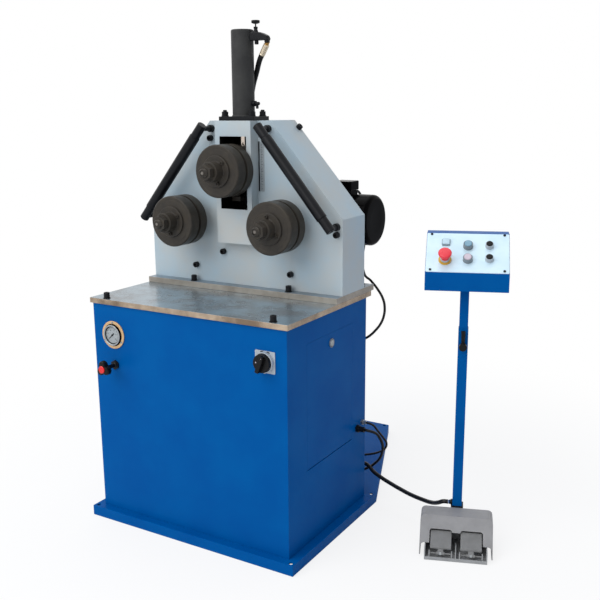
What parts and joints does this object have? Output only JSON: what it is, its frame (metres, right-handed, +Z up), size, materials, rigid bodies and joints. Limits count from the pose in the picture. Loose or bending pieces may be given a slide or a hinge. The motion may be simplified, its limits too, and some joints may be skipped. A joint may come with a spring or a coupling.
{
  "type": "ring roller",
  "caption": "Hydraulic section bender: floor cabinet, gabled head with three grooved rolls, vertical cylinder, rear drive motor, and a control pedestal with a double foot pedal.",
  "frame": {"origin": "on the floor under the middle of the cabinet", "axes": "+X to the right along the cabinet front, +Y to the back, +Z up"},
  "size_m": [1.2017, 1.1463, 1.52],
  "materials": {
    "blue_paint": "gloss",
    "grey_paint": "satin",
    "black_paint": "satin",
    "black_oxide": "black oxide",
    "bare_steel": "ground",
    "chrome": "polished",
    "zinc": "zinc plated",
    "cast_grey": "painted cast",
    "gauge_brass": "satin",
    "silver_plastic": "matte",
    "black_plastic": "matte",
    "rubber": "matte",
    "foot_grey": "powder coat",
    "panel_grey": "anodised",
    "red_plastic": "gloss",
    "blue_lens": "gloss",
    "white_lens": "gloss"
  },
  "bodies": {
    "frame": {"base_frame": "blue_paint", "cabinet_shell": "blue_paint", "table_plate": "bare_steel", "power_pack": "cast_grey", "gauge_case": "gauge_brass", "valve_bush": "black_plastic", "switch_plate": "silver_plastic", "side_gland": "black_plastic", "side_fitting": "zinc", "head_base_plate": "bare_steel", "head_casing": "grey_paint", "head_back_plate": "grey_paint", "scale_strip": "zinc", "guard_bar_left": "black_paint", "guard_bar_right": "black_paint", "gearbox_housing": "cast_grey", "motor_body": "black_paint", "cylinder_barrel": "black_paint", "cylinder_flange": "black_paint", "port_block": "black_oxide", "foot_tray": "black_paint", "foot_cover": "foot_grey", "pole_lower": "blue_paint", "pressure_hose": "rubber", "motor_cable": "rubber", "side_cable_thin": "rubber", "side_cable_thick": "rubber", "pedal_conduit": "rubber"},
    "door": {"side_door": "blue_paint"},
    "lock": {"door_lock": "zinc"},
    "ram": {"ram_block": "black_oxide", "piston_rod": "chrome"},
    "upper_roller": {"upper_shaft": "bare_steel", "upper_roll": "black_oxide", "upper_clamp_flange": "black_oxide", "upper_lock_nut": "black_oxide"},
    "right_roller": {"right_shaft": "bare_steel", "right_roll": "black_oxide", "right_clamp_flange": "black_oxide", "right_lock_nut": "black_oxide"},
    "left_roller": {"left_shaft": "bare_steel", "left_roll": "black_oxide", "left_clamp_flange": "black_oxide", "left_lock_nut": "black_oxide"},
    "pinion": {"drive_pinion": "bare_steel"},
    "needle": {"gauge_needle": "black_plastic"},
    "relief_valve": {"valve_knob": "black_plastic"},
    "main_switch": {"switch_knob": "black_plastic"},
    "bleed_valve": {"bleed_knob": "black_plastic"},
    "left_pedal": {"pedal_left": "foot_grey"},
    "right_pedal": {"pedal_right": "foot_grey"},
    "mast": {"pole_upper": "blue_paint", "control_box": "blue_paint", "control_panel": "panel_grey"},
    "mast_clamp": {"clamp_lever": "black_plastic"},
    "stop_button": {"estop_button": "red_plastic"},
    "blue_button": {"button_blue": "blue_lens"},
    "white_button": {"button_white": "white_lens"},
    "up_button": {"button_up": "black_plastic"},
    "down_button": {"button_down": "black_plastic"}
  },
  "joints": [
    {"name": "ram_slide", "type": "slide", "parent": "frame", "child": "ram", "axis": [0, 0, 1], "range_m": [-0.07, 0.06]},
    {"name": "upper_roll_spin", "type": "hinge", "parent": "ram", "child": "upper_roller", "pos_m": [0, 0, 1.0898], "axis": [0, 1, 0], "continuous": true},
    {"name": "left_roll_spin", "type": "hinge", "parent": "frame", "child": "left_roller", "pos_m": [-0.176, 0, 0.9327], "axis": [0, 1, 0], "continuous": true},
    {"name": "right_roll_spin", "type": "hinge", "parent": "frame", "child": "right_roller", "pos_m": [0.176, 0, 0.9327], "axis": [0, 1, 0], "continuous": true},
    {"name": "pinion_spin", "type": "hinge", "parent": "frame", "child": "pinion", "pos_m": [0, 0, 0.856], "axis": [0, 1, 0], "continuous": true},
    {"name": "door_swing", "type": "hinge", "parent": "frame", "child": "door", "pos_m": [0.343, 0.0065, 0.262], "axis": [0, 1, 0], "range_deg": [0, 90]},
    {"name": "lock_turn", "type": "hinge", "parent": "door", "child": "lock", "pos_m": [0.346, 0.009, 0.604], "axis": [1, 0, 0], "range_deg": [0, 90]},
    {"name": "needle_turn", "type": "hinge", "parent": "frame", "child": "needle", "pos_m": [-0.269, -0.25, 0.6046], "axis": [0, 1, 0], "range_deg": [0, 270], "stiffness_Nm_per_rad": 0.001},
    {"name": "valve_turn", "type": "hinge", "parent": "frame", "child": "relief_valve", "pos_m": [-0.268, -0.27, 0.5105], "axis": [0, 1, 0], "range_deg": [0, 720]},
    {"name": "switch_turn", "type": "hinge", "parent": "frame", "child": "main_switch", "pos_m": [0.2775, -0.25, 0.601], "axis": [0, 1, 0], "range_deg": [0, 90]},
    {"name": "bleed_turn", "type": "hinge", "parent": "frame", "child": "bleed_valve", "pos_m": [0.0481, 0.091, 1.51], "axis": [0, 0, 1], "range_deg": [0, 720]},
    {"name": "left_pedal_press", "type": "hinge", "parent": "frame", "child": "left_pedal", "pos_m": [0.69158, 0.03146, 0.019], "axis": [-0.9397, -0.342, 0], "range_deg": [0, 8], "stiffness_Nm_per_rad": 2, "springref_deg": -8.59},
    {"name": "right_pedal_press", "type": "hinge", "parent": "frame", "child": "right_pedal", "pos_m": [0.77239, 0.06088, 0.019], "axis": [-0.9397, -0.342, 0], "range_deg": [0, 8], "stiffness_Nm_per_rad": 2, "springref_deg": -8.59},
    {"name": "mast_height", "type": "slide", "parent": "frame", "child": "mast", "axis": [0, 0, 1], "range_m": [-0.11, 0.12]},
    {"name": "clamp_turn", "type": "hinge", "parent": "frame", "child": "mast_clamp", "pos_m": [0.68, 0.189, 0.601], "axis": [0.342, -0.9397, 0], "range_deg": [-90, 90]},
    {"name": "estop_press", "type": "slide", "parent": "mast", "child": "stop_button", "axis": [-0.2306, 0.6336, -0.7385], "range_m": [0, 0.004]},
    {"name": "blue_press", "type": "slide", "parent": "mast", "child": "blue_button", "axis": [-0.2306, 0.6336, -0.7385], "range_m": [0, 0.003], "stiffness_N_per_m": 400, "springref_m": -0.003},
    {"name": "white_press", "type": "slide", "parent": "mast", "child": "white_button", "axis": [-0.2306, 0.6336, -0.7385], "range_m": [0, 0.003], "stiffness_N_per_m": 400, "springref_m": -0.003},
    {"name": "up_press", "type": "slide", "parent": "mast", "child": "up_button", "axis": [-0.2306, 0.6336, -0.7385], "range_m": [0, 0.003], "stiffness_N_per_m": 400, "springref_m": -0.003},
    {"name": "down_press", "type": "slide", "parent": "mast", "child": "down_button", "axis": [-0.2306, 0.6336, -0.7385], "range_m": [0, 0.003], "stiffness_N_per_m": 400, "springref_m": -0.003}
  ],
  "couplings": [
    {"joint": "right_roll_spin", "follows": "left_roll_spin", "ratio": 1},
    {"joint": "pinion_spin", "follows": "left_roll_spin", "ratio": -1.5263}
  ]
}
